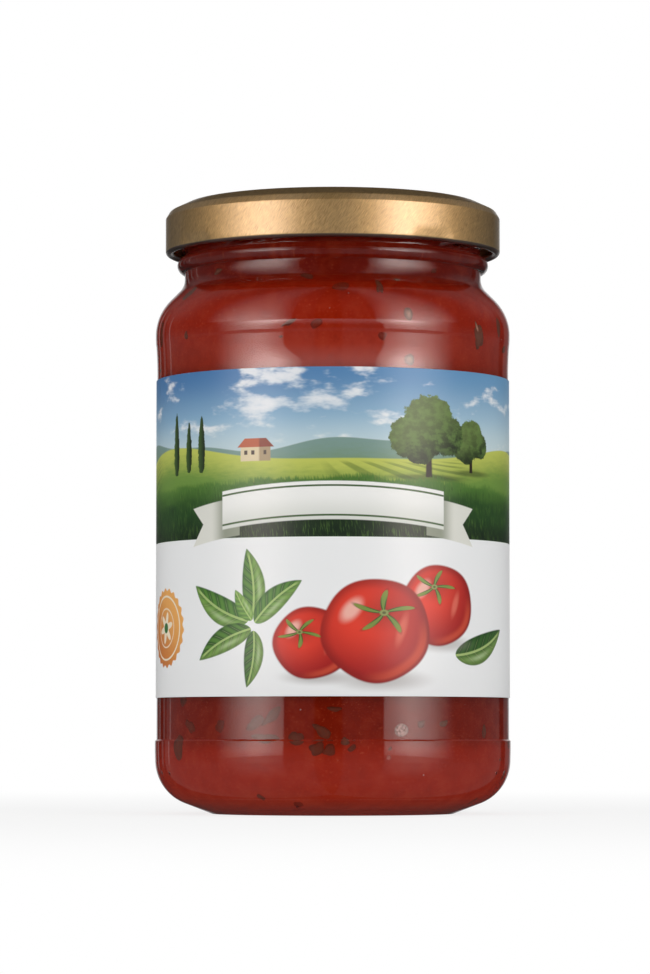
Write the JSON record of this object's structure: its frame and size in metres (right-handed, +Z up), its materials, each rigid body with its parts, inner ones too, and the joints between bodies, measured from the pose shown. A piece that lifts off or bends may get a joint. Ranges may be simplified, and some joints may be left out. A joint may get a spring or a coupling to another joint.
{
  "type": "tomato and basil sauce jar",
  "caption": "Clear glass jar filled with tomato and basil sauce, with a wrap-round printed label and a gold metal twist-off lid.",
  "frame": {"origin": "middle of the foot ring on the surface the jar stands on", "axes": "+Z up along the jar's axis, the front of the label faces -Y"},
  "size_m": [0.071, 0.071, 0.1219],
  "materials": {
    "clear_glass": "clear, polished",
    "tomato_sauce": "smooth wet sauce with basil flakes",
    "gold_tinplate": "satin gold lacquer over tinplate",
    "printed_label": "coated, printed in colour"
  },
  "bodies": {
    "root": {"glass_jar": "clear_glass", "sauce": "tomato_sauce", "lid": "gold_tinplate", "label": "printed_label"}
  },
  "joints": []
}
